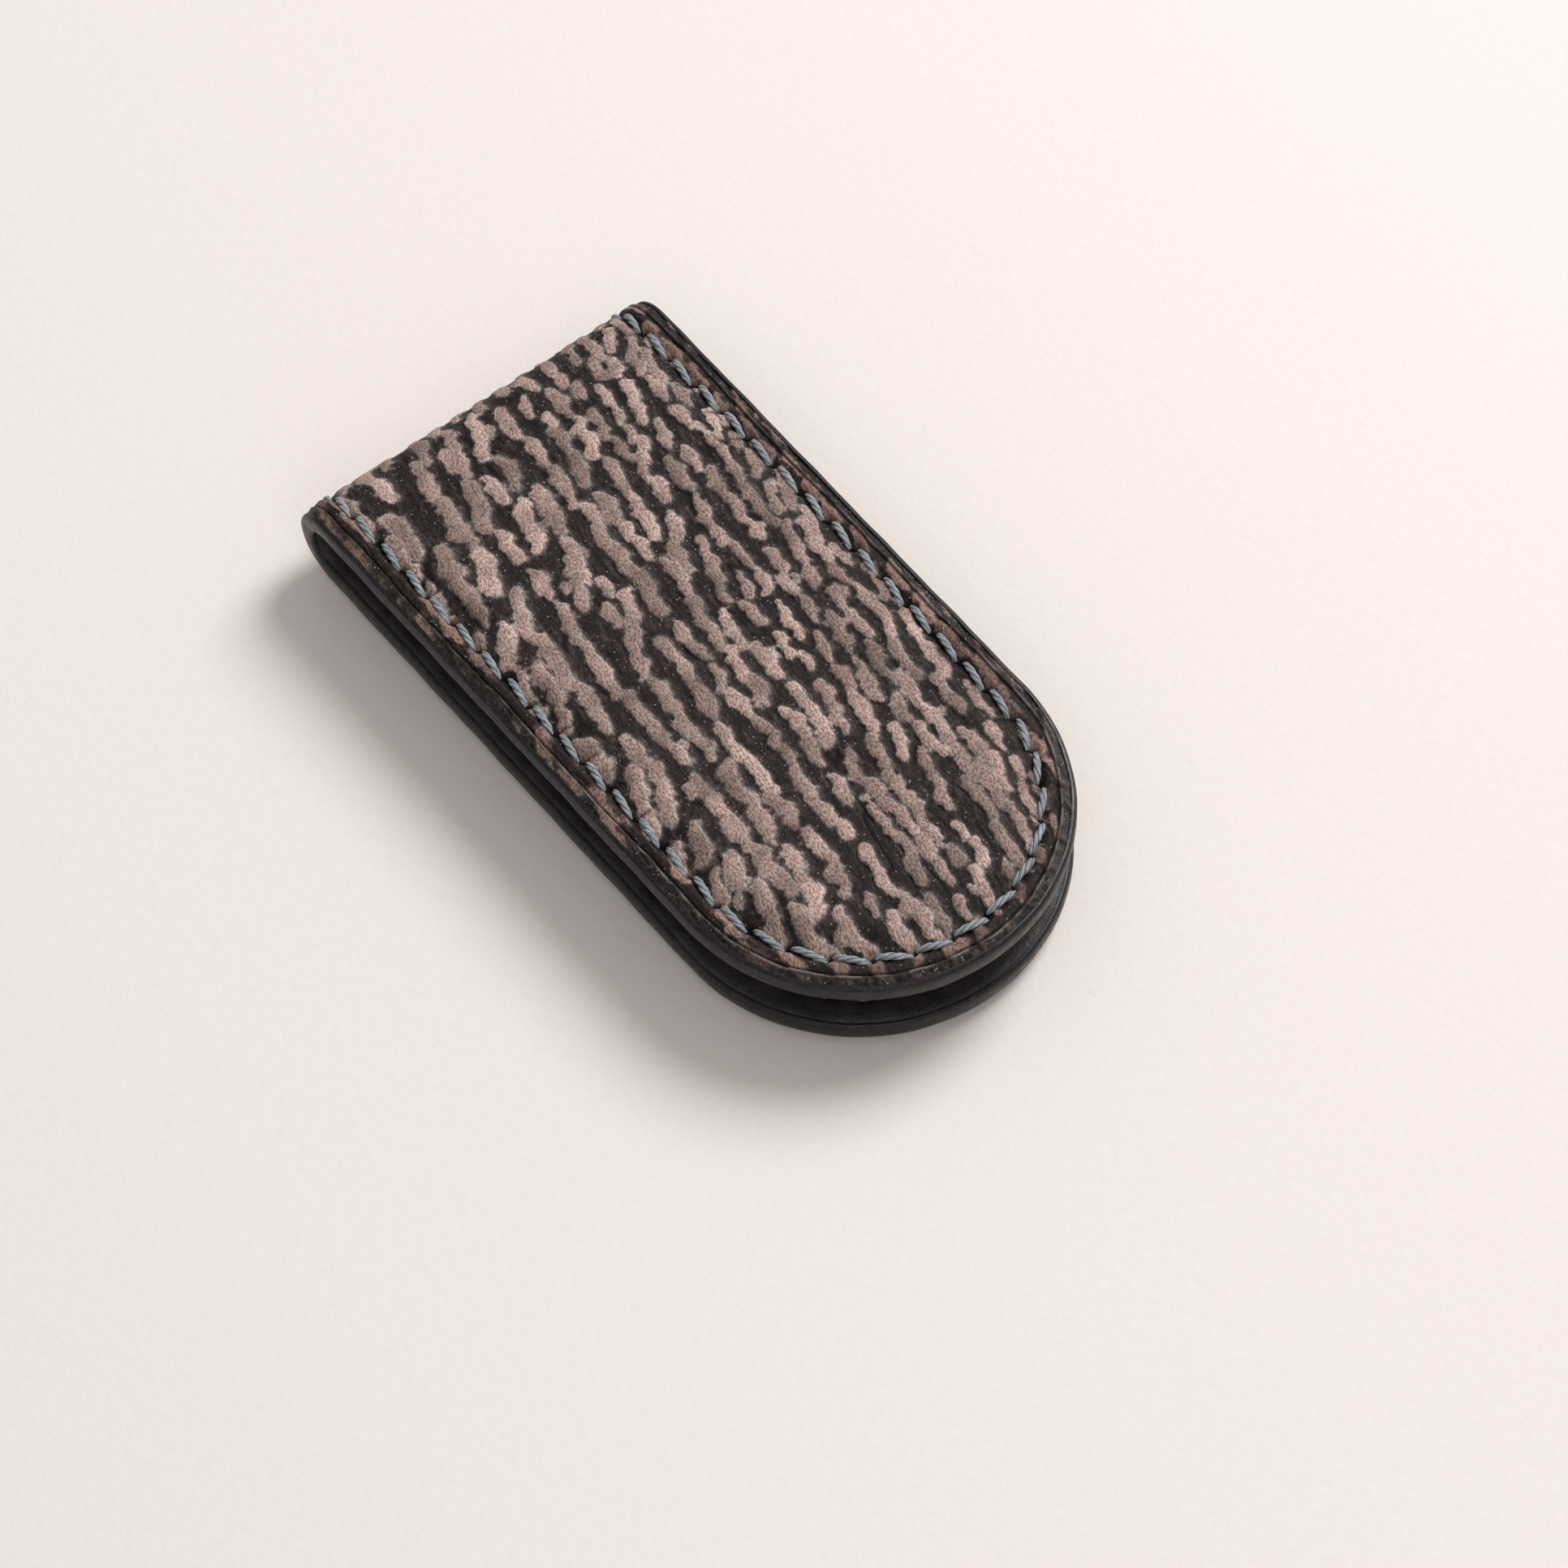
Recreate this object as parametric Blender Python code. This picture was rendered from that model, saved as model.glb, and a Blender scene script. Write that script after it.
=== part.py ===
"""Magnetic leather money clip: two leaves with raised panels joined by a U-shaped fold.

Frame: metres, +Z up, +X from the fold to the round tip, Y across the clip.
The origin is the centre of the footprint, at the height of the underside.
"""

import math

import bmesh
import bpy
from mathutils import Vector

MM = 0.001

# Overall sizes, millimetres
LENGTH = 79.5
FOLD_WIDTH = 41.0
TIP_RADIUS = 19.9
INNER_GAP = 4.4

# Thickness of the leather, and rise of the panel over the magnets, millimetres
LINING = 1.0
SHELL = 1.3
GLUE = 0.1
DOME = 1.0

# Painted edge, pressed crease and stitch line, measured inwards from the rim
BEAD = 0.6
RIM = BEAD + GLUE
CREASE = 1.55
CREASE_DEPTH = 0.16
STITCH = 3.2
GROOVE_HALF_TOP = 0.78
GROOVE_HALF_BOTTOM = 0.52
GROOVE_DEPTH = 0.7
LINING_GROOVE = 0.76
DOME_START = 4.15
DOME_END = 6.5
DOME_RISE_FROM = 1.5
DOME_RISE_TO = 5.0

# Thread
THREAD_RADIUS = 0.34
THREAD_WAIST = 0.23
THREAD_SINK = 0.27
INSIDE_SINK = 0.35
THREAD_DIP = 0.12
THREAD_SLANT = 0.13
STITCH_PITCH = 4.0
FOLD_STITCHES = 3

# Magnets and the board that carries them
BOARD_INSET = 6.8
BOARD_START = 5.4
MAGNET_RADIUS = 7.0
MAGNET_POCKET = 7.15
MAGNET_STATIONS = {"rear": 38.0, "front": 55.5}

# Bend lines: the fold pieces stop short of the leaves, more so on the outside
BEND_GAP_INNER = 0.15
BEND_GAP_OUTER = 0.9
FOLD_SEGMENTS = 16

LEAF_THICKNESS = LINING + GLUE + SHELL
INNER_RADIUS = INNER_GAP / 2.0
OUTER_RADIUS = INNER_RADIUS + LEAF_THICKNESS
MIDDLE_RADIUS = (INNER_RADIUS + OUTER_RADIUS) / 2.0
FOLD_X = OUTER_RADIUS - LENGTH / 2.0
FOLD_Z = DOME + OUTER_RADIUS
LEAF_LENGTH = LENGTH - OUTER_RADIUS
TIP_X = LEAF_LENGTH - TIP_RADIUS
HALF_WIDTH = FOLD_WIDTH / 2.0

# Both hinge axes keep the length of the bent leather from closed to fully open
HINGE_OFFSET = MIDDLE_RADIUS * math.pi / 4.0
ROOT_ORIGIN = (0.0, 0.0, 0.0)
LOWER_HINGE = (FOLD_X - HINGE_OFFSET, 0.0, FOLD_Z - HINGE_OFFSET)
UPPER_HINGE = (FOLD_X - HINGE_OFFSET, 0.0, FOLD_Z + HINGE_OFFSET)

# Taper of the long sides, from the width at the fold to the round tip
TAPER = math.acos(TIP_RADIUS / math.hypot(HALF_WIDTH, TIP_X)) - math.atan2(TIP_X, HALF_WIDTH)
ARC_SEGMENTS = 27
SIDE_STATIONS = (0.0, 1.5, 2.6, 3.8, 5.0, 20.0, 38.0)


def clear_scene():
    for old in list(bpy.data.objects):
        bpy.data.objects.remove(old, do_unlink=True)


def material(name, colour, roughness, metallic):
    new = bpy.data.materials.new(name)
    new.use_nodes = True
    shader = new.node_tree.nodes["Principled BSDF"]
    shader.inputs["Base Color"].default_value = (colour[0], colour[1], colour[2], 1.0)
    shader.inputs["Roughness"].default_value = roughness
    shader.inputs["Metallic"].default_value = metallic
    new.diffuse_color = (colour[0], colour[1], colour[2], 1.0)
    return new


def smooth(value):
    value = min(1.0, max(0.0, value))
    return value * value * (3.0 - 2.0 * value)


def side_y(inset):
    """Distance from the centre line at the fold, for a curve this far inside the rim."""
    return (TIP_RADIUS - inset + TIP_X * math.sin(TAPER)) / math.cos(TAPER)


def leaf_curve(inset, start=0.0):
    """Open curve round a leaf, from one end of the bend line past the tip to the other."""
    radius = TIP_RADIUS - inset
    end_x = TIP_X + radius * math.sin(TAPER)
    half = []
    for station in SIDE_STATIONS:
        x = max(station, start)
        y = side_y(inset) - x * math.tan(TAPER)
        if not half or x > half[-1][0]:
            half.append((x, y))
    half = [point for point in half if point[0] < end_x - 0.5]
    sweep = math.pi - 2.0 * TAPER
    arc = []
    for step in range(ARC_SEGMENTS + 1):
        angle = math.pi / 2.0 - TAPER - sweep * step / ARC_SEGMENTS
        arc.append((TIP_X + radius * math.cos(angle), radius * math.sin(angle)))
    back = [(x, -y) for x, y in reversed(half)]
    return half + arc + back


def build(name, verts, faces, colour, origin, group):
    """Make one named solid; verts are millimetres in the clip's frame."""
    mesh = bpy.data.meshes.new(name)
    base = Vector(origin)
    placed = [tuple((Vector(point) - base) * MM) for point in verts]
    mesh.from_pydata(placed, [], faces)
    work = bmesh.new()
    work.from_mesh(mesh)
    bmesh.ops.recalc_face_normals(work, faces=work.faces)
    work.to_mesh(mesh)
    work.free()
    mesh.materials.append(colour)
    for polygon in mesh.polygons:
        polygon.use_smooth = True
    mesh.set_sharp_from_angle(angle=math.radians(34.0))
    new = bpy.data.objects.new(name, mesh)
    new.location = base * MM
    group.objects.link(new)
    return new


def leaf_point(x, y, height, side):
    """Height is measured from a leaf's inner face; side is +1 above and -1 below."""
    return (FOLD_X + x, y, FOLD_Z + side * (INNER_RADIUS + height))


def fold_point(angle, y, height):
    """Angle is 0 at the back of the fold and a quarter turn at each leaf."""
    radius = INNER_RADIUS + height
    return (FOLD_X - radius * math.cos(angle), y, FOLD_Z + radius * math.sin(angle))


def fold_limit(height, extra=0.0):
    """Largest fold angle at this height, so that the leaf can swing past."""
    share = height / LEAF_THICKNESS
    gap = BEND_GAP_INNER + (BEND_GAP_OUTER - BEND_GAP_INNER) * share + extra
    return math.pi / 2.0 - math.asin(gap / (INNER_RADIUS + height))


def groove(inset):
    """Depth of the stitch groove at this distance from the rim."""
    away = abs(inset - STITCH)
    if away <= GROOVE_HALF_BOTTOM:
        return GROOVE_DEPTH
    if away >= GROOVE_HALF_TOP:
        return 0.0
    return GROOVE_DEPTH * (GROOVE_HALF_TOP - away) / (GROOVE_HALF_TOP - GROOVE_HALF_BOTTOM)


def dome(inset, x):
    across = smooth((inset - DOME_START) / (DOME_END - DOME_START))
    along = smooth((x - DOME_RISE_FROM) / (DOME_RISE_TO - DOME_RISE_FROM))
    return DOME * across * along


def shell_outer(inset, x):
    height = LEAF_THICKNESS + dome(inset, x) - groove(inset)
    if inset <= RIM:
        height = height - 0.12
    if abs(inset - CREASE) < 0.01:
        height = height - CREASE_DEPTH
    return height


def shell_inner(inset, x):
    return LINING + GLUE + dome(inset, x)


def lining_outer(inset, x):
    return LINING


def lining_inner(inset, x):
    return groove(inset) * LINING_GROOVE / GROOVE_DEPTH


GROOVE_ROWS = (
    STITCH - GROOVE_HALF_TOP,
    STITCH - GROOVE_HALF_BOTTOM,
    STITCH + GROOVE_HALF_BOTTOM,
    STITCH + GROOVE_HALF_TOP,
)
SHELL_ROWS = (RIM, 1.05, CREASE - 0.2, CREASE, CREASE + 0.2) + GROOVE_ROWS
DOME_ROWS = (DOME_START, 4.9, 5.7, DOME_END)
LINING_ROWS = (RIM,) + GROOVE_ROWS


def leaf_sheet(name, rows, upper, lower, side, colour, origin, group):
    """Leather sheet with the outline of a leaf and a height for each row of points."""
    curves = [leaf_curve(row) for row in rows]
    count = len(curves[0])
    total = count * len(rows)
    verts = []
    for height in (upper, lower):
        for row, curve in zip(rows, curves):
            for x, y in curve:
                verts.append(leaf_point(x, y, height(row, x), side))
    faces = []
    for layer in (0, total):
        for row in range(len(rows) - 1):
            for i in range(count - 1):
                a = layer + row * count + i
                faces.append((a, a + 1, a + count + 1, a + count))
        last = layer + (len(rows) - 1) * count
        for i in range(count // 2 - 1):
            faces.append((last + i, last + i + 1, last + count - 2 - i, last + count - 1 - i))
    for i in range(count - 1):
        faces.append((i, i + 1, total + i + 1, total + i))
    for row in range(len(rows) - 1):
        for end in (0, count - 1):
            a = row * count + end
            faces.append((a, a + count, total + a + count, total + a))
    a = (len(rows) - 1) * count
    b = a + count - 1
    faces.append((a, b, total + b, total + a))
    return build(name, verts, faces, colour, origin, group)


def fold_sheet(name, rows, upper, lower, colour, origin, group):
    """The same leather bent round the fold between the two leaves."""
    across = [(side_y(row), row) for row in rows]
    across = across + [(-y, row) for y, row in reversed(across)]
    wide = len(across)
    steps = FOLD_SEGMENTS + 1
    total = steps * wide
    verts = []
    for height in (upper, lower):
        level = height(rows[1], 0.0)
        limit = fold_limit(level)
        for step in range(steps):
            angle = limit * (2.0 * step / FOLD_SEGMENTS - 1.0)
            for y, row in across:
                verts.append(fold_point(angle, y, height(row, 0.0)))
    faces = []
    for layer in (0, total):
        for step in range(FOLD_SEGMENTS):
            for i in range(wide - 1):
                a = layer + step * wide + i
                faces.append((a, a + 1, a + wide + 1, a + wide))
    for i in range(wide - 1):
        for end in (0, (steps - 1) * wide):
            a = end + i
            faces.append((a, a + 1, total + a + 1, total + a))
    for step in range(FOLD_SEGMENTS):
        for end in (0, wide - 1):
            a = step * wide + end
            faces.append((a, a + wide, total + a + wide, total + a))
    return build(name, verts, faces, colour, origin, group)


def bead_section():
    """Rounded strip of edge paint as (distance from the rim, height) points."""
    points = [(BEAD, 0.1)]
    for step in range(7):
        angle = math.pi * (step / 6.0 - 0.5)
        bulge = abs(math.cos(angle)) ** 0.7
        height = LEAF_THICKNESS * (0.5 + 0.5 * math.sin(angle))
        points.append((BEAD * 0.92 * (1.0 - bulge), height))
    points.append((BEAD, LEAF_THICKNESS - 0.1))
    return points


def sweep(name, rings, colour, origin, group):
    """Close a row of equal rings of points into one solid."""
    size = len(rings[0])
    verts = [point for ring in rings for point in ring]
    faces = []
    for ring in range(len(rings) - 1):
        for i in range(size):
            a = ring * size + i
            b = ring * size + (i + 1) % size
            faces.append((a, b, b + size, a + size))
    faces.append(tuple(range(size)))
    faces.append(tuple(range(len(verts) - size, len(verts))))
    return build(name, verts, faces, colour, origin, group)


def leaf_bead(name, side, colour, origin, group):
    section = bead_section()
    curves = [leaf_curve(inset) for inset, height in section]
    rings = []
    for i in range(len(curves[0])):
        ring = []
        for curve, (inset, height) in zip(curves, section):
            ring.append(leaf_point(curve[i][0], curve[i][1], height, side))
        rings.append(ring)
    return sweep(name, rings, colour, origin, group)


def fold_bead(name, hand, colour, origin, group):
    rings = []
    for step in range(FOLD_SEGMENTS + 1):
        ring = []
        for inset, height in bead_section():
            angle = fold_limit(height) * (2.0 * step / FOLD_SEGMENTS - 1.0)
            ring.append(fold_point(angle, hand * side_y(inset), height))
        rings.append(ring)
    return sweep(name, rings, colour, origin, group)


def stitch_shape(phase):
    """Sink, sideways shift and radius of the thread at a phase of one stitch."""
    arch = math.sin(math.pi * phase) ** 0.6 if 0.0 < phase < 1.0 else 0.0
    shift = THREAD_SLANT * math.sin(2.0 * math.pi * (phase - 0.5))
    sink = THREAD_SINK + THREAD_DIP * (1.0 - arch)
    radius = THREAD_WAIST + (THREAD_RADIUS - THREAD_WAIST) * arch
    return sink, shift, radius


def tube(name, path, colour, origin, group):
    """Path entries are a centre, an outward direction and a radius."""
    sides = 6
    rings = []
    for i, (centre, outward, radius) in enumerate(path):
        before = path[max(0, i - 1)][0]
        after = path[min(len(path) - 1, i + 1)][0]
        along = (after - before).normalized()
        across = along.cross(outward).normalized()
        up = across.cross(along).normalized()
        ring = []
        for k in range(sides):
            turn = 2.0 * math.pi * (k + 0.5) / sides
            ring.append(tuple(centre + radius * (math.cos(turn) * across + math.sin(turn) * up)))
        rings.append(ring)
    return sweep(name, rings, colour, origin, group)


def leaf_thread(name, side, outside, colour, origin, group):
    """One face's run of stitches round a leaf."""
    radius = TIP_RADIUS - STITCH
    straight = (TIP_X + radius * math.sin(TAPER)) / math.cos(TAPER)
    bend = radius * (math.pi - 2.0 * TAPER)
    length = 2.0 * straight + bend
    stitches = round(length / STITCH_PITCH)
    path = []
    for step in range(4 * stitches + 1):
        run = length * step / (4.0 * stitches)
        run = min(max(run, 0.15), length - 0.15)
        mirrored = min(run, length - run)
        sink, shift, thick = stitch_shape((step % 4) / 4.0)
        if mirrored < straight:
            x = mirrored * math.cos(TAPER)
            y = side_y(STITCH) - mirrored * math.sin(TAPER)
            normal = (math.sin(TAPER), math.cos(TAPER))
        else:
            turn = math.pi / 2.0 - TAPER - (mirrored - straight) / radius
            x = TIP_X + radius * math.cos(turn)
            y = radius * math.sin(turn)
            normal = (math.cos(turn), math.sin(turn))
        hand = 1.0 if run <= length / 2.0 else -1.0
        x = x + shift * normal[0]
        y = hand * (y + shift * normal[1])
        if outside:
            height = LEAF_THICKNESS - sink
        else:
            height = sink + INSIDE_SINK - THREAD_SINK
        outward = Vector((0.0, 0.0, 1.0))
        path.append((Vector(leaf_point(x, y, height, side)), outward, thick))
    return tube(name, path, colour, origin, group)


def fold_thread(name, hand, outside, colour, origin, group):
    """One face's run of stitches over the fold, at one side of the clip."""
    path = []
    steps = 4 * FOLD_STITCHES
    for step in range(steps + 1):
        sink, shift, thick = stitch_shape((step % 4) / 4.0)
        if outside:
            height = LEAF_THICKNESS - sink
            limit = fold_limit(LEAF_THICKNESS, 0.2)
        else:
            height = sink + INSIDE_SINK - THREAD_SINK
            limit = fold_limit(0.5, 0.15)
        angle = limit * (2.0 * step / steps - 1.0)
        centre = Vector(fold_point(angle, hand * (side_y(STITCH) + shift), height))
        outward = Vector((-math.cos(angle), 0.0, math.sin(angle)))
        path.append((centre, outward, thick))
    return tube(name, path, colour, origin, group)


def circle(x, radius, segments=40):
    points = []
    for step in range(segments):
        angle = 2.0 * math.pi * step / segments
        points.append((x + radius * math.cos(angle), radius * math.sin(angle)))
    return points


def plate(name, outline, holes, low, high, side, colour, origin, group):
    """Flat plate between two heights, with round through holes."""
    work = bmesh.new()
    for loop in [outline] + holes:
        ring = [work.verts.new((x, y, 0.0)) for x, y in loop]
        for i, vert in enumerate(ring):
            work.edges.new((vert, ring[(i + 1) % len(ring)]))
    bmesh.ops.triangle_fill(work, use_beauty=True, use_dissolve=False, edges=work.edges[:])
    work.verts.index_update()
    flat = [(vert.co.x, vert.co.y) for vert in work.verts]
    inside = [tuple(vert.index for vert in face.verts) for face in work.faces]
    work.free()
    count = len(flat)
    verts = [leaf_point(x, y, low, side) for x, y in flat]
    verts = verts + [leaf_point(x, y, high, side) for x, y in flat]
    faces = list(inside)
    faces = faces + [tuple(index + count for index in face) for face in inside]
    start = 0
    for loop in [outline] + holes:
        size = len(loop)
        for i in range(size):
            a = start + i
            b = start + (i + 1) % size
            faces.append((a, b, b + count, a + count))
        start = start + size
    return build(name, verts, faces, colour, origin, group)


def magnet_core(part, side, board, metal, origin, group):
    """The board under the shell and the magnets set into it."""
    low = LINING + GLUE
    high = LINING + DOME
    outline = leaf_curve(BOARD_INSET, BOARD_START)
    holes = [circle(x, MAGNET_POCKET) for x in MAGNET_STATIONS.values()]
    plate("magnet_board_" + part, outline, holes, low, high, side, board, origin, group)
    for place, x in MAGNET_STATIONS.items():
        name = "magnet_" + part + "_" + place
        plate(name, circle(x, MAGNET_RADIUS), [], low, high, side, metal, origin, group)


def main():
    clear_scene()
    group = bpy.context.scene.collection
    shark = material("shark_leather", (0.30, 0.22, 0.19), 0.62, 0.0)
    lining = material("lining_leather", (0.022, 0.020, 0.020), 0.55, 0.0)
    board = material("bonded_board", (0.16, 0.10, 0.065), 0.85, 0.0)
    metal = material("nickel_magnet", (0.62, 0.60, 0.57), 0.25, 1.0)
    thread = material("waxed_thread", (0.24, 0.30, 0.34), 0.6, 0.0)
    paint = material("edge_paint", (0.03, 0.028, 0.03), 0.35, 0.0)

    for part, side, origin in (("lower", -1.0, ROOT_ORIGIN), ("upper", 1.0, UPPER_HINGE)):
        shell_rows = SHELL_ROWS + DOME_ROWS
        leaf_sheet("shell_" + part, shell_rows, shell_outer, shell_inner, side, shark, origin, group)
        leaf_sheet("lining_" + part, LINING_ROWS, lining_outer, lining_inner, side, lining, origin, group)
        magnet_core(part, side, board, metal, origin, group)
        leaf_bead("edge_paint_" + part, side, paint, origin, group)
        leaf_thread("thread_" + part + "_outside", side, True, thread, origin, group)
        leaf_thread("thread_" + part + "_inside", side, False, thread, origin, group)

    fold_sheet("shell_fold", SHELL_ROWS, shell_outer, shell_inner, shark, LOWER_HINGE, group)
    fold_sheet("lining_fold", LINING_ROWS, lining_outer, lining_inner, lining, LOWER_HINGE, group)
    for label, hand in (("left", 1.0), ("right", -1.0)):
        fold_bead("edge_paint_fold_" + label, hand, paint, LOWER_HINGE, group)
        fold_thread("thread_fold_" + label + "_outside", hand, True, thread, LOWER_HINGE, group)
        fold_thread("thread_fold_" + label + "_inside", hand, False, thread, LOWER_HINGE, group)


main()
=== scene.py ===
"""Looks of the magnetic leather money clip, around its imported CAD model.

Lengths are millimetres until a mesh is made. "Flat" coordinates lie on the unrolled
leather: x runs from the bend line to the tip and is negative round the fold, y runs
across. An inset is a distance inwards from the rim, and a run is a distance along
the stitch line from the back of the fold.
"""

import math

import bpy
import numpy as np
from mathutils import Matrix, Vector


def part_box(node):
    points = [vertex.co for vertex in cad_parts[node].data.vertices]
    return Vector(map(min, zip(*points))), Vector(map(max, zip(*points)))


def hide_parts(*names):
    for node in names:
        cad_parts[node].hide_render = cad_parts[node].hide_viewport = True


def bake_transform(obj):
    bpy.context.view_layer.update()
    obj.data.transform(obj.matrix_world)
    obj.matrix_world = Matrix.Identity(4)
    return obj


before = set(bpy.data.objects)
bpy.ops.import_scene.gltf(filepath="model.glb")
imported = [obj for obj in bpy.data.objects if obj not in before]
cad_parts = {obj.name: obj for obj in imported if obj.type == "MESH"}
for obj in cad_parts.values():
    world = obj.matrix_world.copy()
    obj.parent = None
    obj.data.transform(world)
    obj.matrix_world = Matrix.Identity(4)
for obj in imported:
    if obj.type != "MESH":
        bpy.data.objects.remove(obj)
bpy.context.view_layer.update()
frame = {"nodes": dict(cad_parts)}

MM = 0.001


# ---------------------------------------------------------------- sizes from the frame

def box_mm(node):
    low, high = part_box(node)
    return low / MM, high / MM


RIM_LOW, RIM_HIGH = box_mm("edge_paint_upper")
FOLD_LOW, FOLD_HIGH = box_mm("edge_paint_fold_left")
FOLD_X = RIM_LOW.x
FOLD_Z = (FOLD_LOW.z + FOLD_HIGH.z) / 2.0
INNER_RADIUS = RIM_LOW.z - FOLD_Z
THICKNESS = RIM_HIGH.z - RIM_LOW.z
OUTER_RADIUS = INNER_RADIUS + THICKNESS
HALF_WIDTH = RIM_HIGH.y
DOME = box_mm("shell_upper")[1].z - RIM_HIGH.z
LINING = box_mm("lining_upper")[1].z - RIM_LOW.z

# The film of glue between the lining and the shell
GLUE = 0.1

TIP_RADIUS = 19.9
TIP_X = RIM_HIGH.x - FOLD_X - TIP_RADIUS
TAPER = math.acos(TIP_RADIUS / math.hypot(HALF_WIDTH, TIP_X)) - math.atan2(TIP_X, HALF_WIDTH)

# Features of the edge, as insets. Rows further in than the last one close in on the centre line.
BEAD_WIDTH = 0.54
CREASE = 1.55
STITCH = 3.2
DOME_FROM = 3.6
DOME_TO = 6.4
TRUE_INSET = 12.0

# Stitches: pitch aimed at, gap between two, how far the ends lie off the line, thread radius
WANTED_PITCH = 3.97
STITCH_GAP = 1.0
SLANT = 0.29
THREAD = 0.37

# Runs along the stitch line
FOLD_RUN = OUTER_RADIUS * math.pi / 2.0
SIDE_RUN = (TIP_X + (TIP_RADIUS - STITCH) * math.sin(TAPER)) / math.cos(TAPER)
TIP_RUN = (TIP_RADIUS - STITCH) * (math.pi - 2.0 * TAPER)
TOTAL_RUN = 2.0 * (FOLD_RUN + SIDE_RUN) + TIP_RUN
STITCHES = round(TOTAL_RUN / WANTED_PITCH)
PITCH = TOTAL_RUN / STITCHES

# The slits drift this far off an even pitch, in one wave of this length
PACE_DRIFT = 1.5
PACE_LENGTH = 112.0


def smooth(value, low=0.0, high=1.0):
    """0 at low, 1 at high, and an S-shaped curve between them."""
    t = np.clip((value - low) / (high - low), 0.0, 1.0)
    return t * t * (3.0 - 2.0 * t)


def bell(offset, width):
    """1 where the offset is 0, falling to almost 0 at twice this width."""
    return np.exp(-((offset / width) ** 2))


# ---------------------------------------------------------------- shape of a leaf

def side_y(inset):
    """Half width of the leaf at the bend line."""
    return (TIP_RADIUS - inset + TIP_X * math.sin(TAPER)) / math.cos(TAPER)


def flat_point(run, inset):
    """Flat x and y of points this far along the stitch line and inside the rim."""
    run, inset = np.broadcast_arrays(np.asarray(run, float), np.asarray(inset, float))
    hand = np.where(run <= TOTAL_RUN / 2.0, 1.0, -1.0)
    half = np.minimum(run, TOTAL_RUN - run)
    true = np.minimum(inset, TRUE_INSET)
    radius = TIP_RADIUS - true
    edge = side_y(true)
    share = np.clip((half - FOLD_RUN) / SIDE_RUN, 0.0, 1.0)
    x = share * (TIP_X + radius * math.sin(TAPER))
    y = edge * (1.0 - share) + share * radius * math.cos(TAPER)
    spine = x.copy()
    past = half > FOLD_RUN + SIDE_RUN
    turn = math.pi / 2.0 - TAPER - (half - FOLD_RUN - SIDE_RUN) / (TIP_RADIUS - STITCH)
    x = np.where(past, TIP_X + radius * np.cos(turn), x)
    y = np.where(past, radius * np.sin(turn), y)
    spine = np.where(past, TIP_X, np.minimum(spine, TIP_X))
    before = half < FOLD_RUN
    x = np.where(before, half - FOLD_RUN, x)
    spine = np.where(before, x, spine)
    inward = np.clip((inset - TRUE_INSET) / (TIP_RADIUS - TRUE_INSET), 0.0, 1.0)
    return x + (spine - x) * inward, hand * y * (1.0 - inward)


def bend(x, y, height, side):
    """Flat coordinates to the clip: height is from the inner face, side is +1 above, -1 below."""
    radius = INNER_RADIUS + height
    angle = np.clip(-x / FOLD_RUN, 0.0, 1.0) * (math.pi / 2.0)
    across = FOLD_X + np.maximum(x, 0.0) - radius * np.sin(angle)
    up = FOLD_Z + side * radius * np.cos(angle)
    return np.stack(np.broadcast_arrays(across, y, up), axis=-1)


def stations(fold, straight, tip):
    """Runs of the points round one leaf, with these many steps on each stretch."""
    a = np.linspace(0.0, FOLD_RUN, fold + 1)[:-1]
    b = np.linspace(FOLD_RUN, FOLD_RUN + SIDE_RUN, straight + 1)[:-1]
    c = np.linspace(FOLD_RUN + SIDE_RUN, TOTAL_RUN - FOLD_RUN - SIDE_RUN, tip + 1)
    half = np.concatenate([a, b])
    return np.concatenate([half, c, (TOTAL_RUN - half)[::-1]])


# ---------------------------------------------------------------- pattern of the hide

HIDE_STEP = 0.1
HIDE_X = (-2.0 * FOLD_RUN - 78.0, 78.0)
HIDE_Y = (-23.0, 23.0)
HIDE_SEED = 12

# Rows of lobes: slope, distance between rows on the -Y side, and how much less on the +Y side
ROW_SLOPE = -0.07
ROW_GAP = 2.95
ROW_GAP_LESS = 0.75
ROWS_BEYOND = 14.0

# Lobes: half length and half width as shares of the row gap, the fewest that touch in a group
# and one more than the most, and how often one has a small lobe beside it
LOBE_LENGTH = 0.78
LOBE_WIDTH = 0.25
LOBE_GROUP = (2, 7)
SIDE_LOBE_CHANCE = 0.10

# Level of the summed bumps where a ridge begins
RIDGE_LEVEL = 0.49


def octave(rng, shape, period, spread=0.4, stretch=1.0, degrees=0.0):
    """Noise with waves of about this period, this much longer in one direction."""
    fx = np.fft.fftfreq(shape[0], HIDE_STEP)[:, None]
    fy = np.fft.fftfreq(shape[1], HIDE_STEP)[None, :]
    c, s = math.cos(math.radians(degrees)), math.sin(math.radians(degrees))
    radius = np.hypot((fx * c + fy * s) * stretch, fy * c - fx * s) + 1e-9
    band = np.exp(-((np.log(radius * period) / spread) ** 2)) / radius
    noise = np.fft.ifft2(np.fft.fft2(rng.normal(size=shape)) * band).real
    return noise / noise.std()


def soften(grid, times):
    """The grid blurred this many times with its four neighbours."""
    for _ in range(times):
        p = np.pad(grid, 1, mode="edge")
        grid = (p[:-2, 1:-1] + p[2:, 1:-1] + p[1:-1, :-2] + p[1:-1, 2:] + 2.0 * grid) / 6.0
    return grid


def cell(shape, x, y):
    """Grid cell that holds a flat point, or the nearest one."""
    i = int(np.clip((x - HIDE_X[0]) / HIDE_STEP, 0, shape[0]))
    j = int(np.clip((y - HIDE_Y[0]) / HIDE_STEP, 0, shape[1]))
    return i, j


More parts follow.
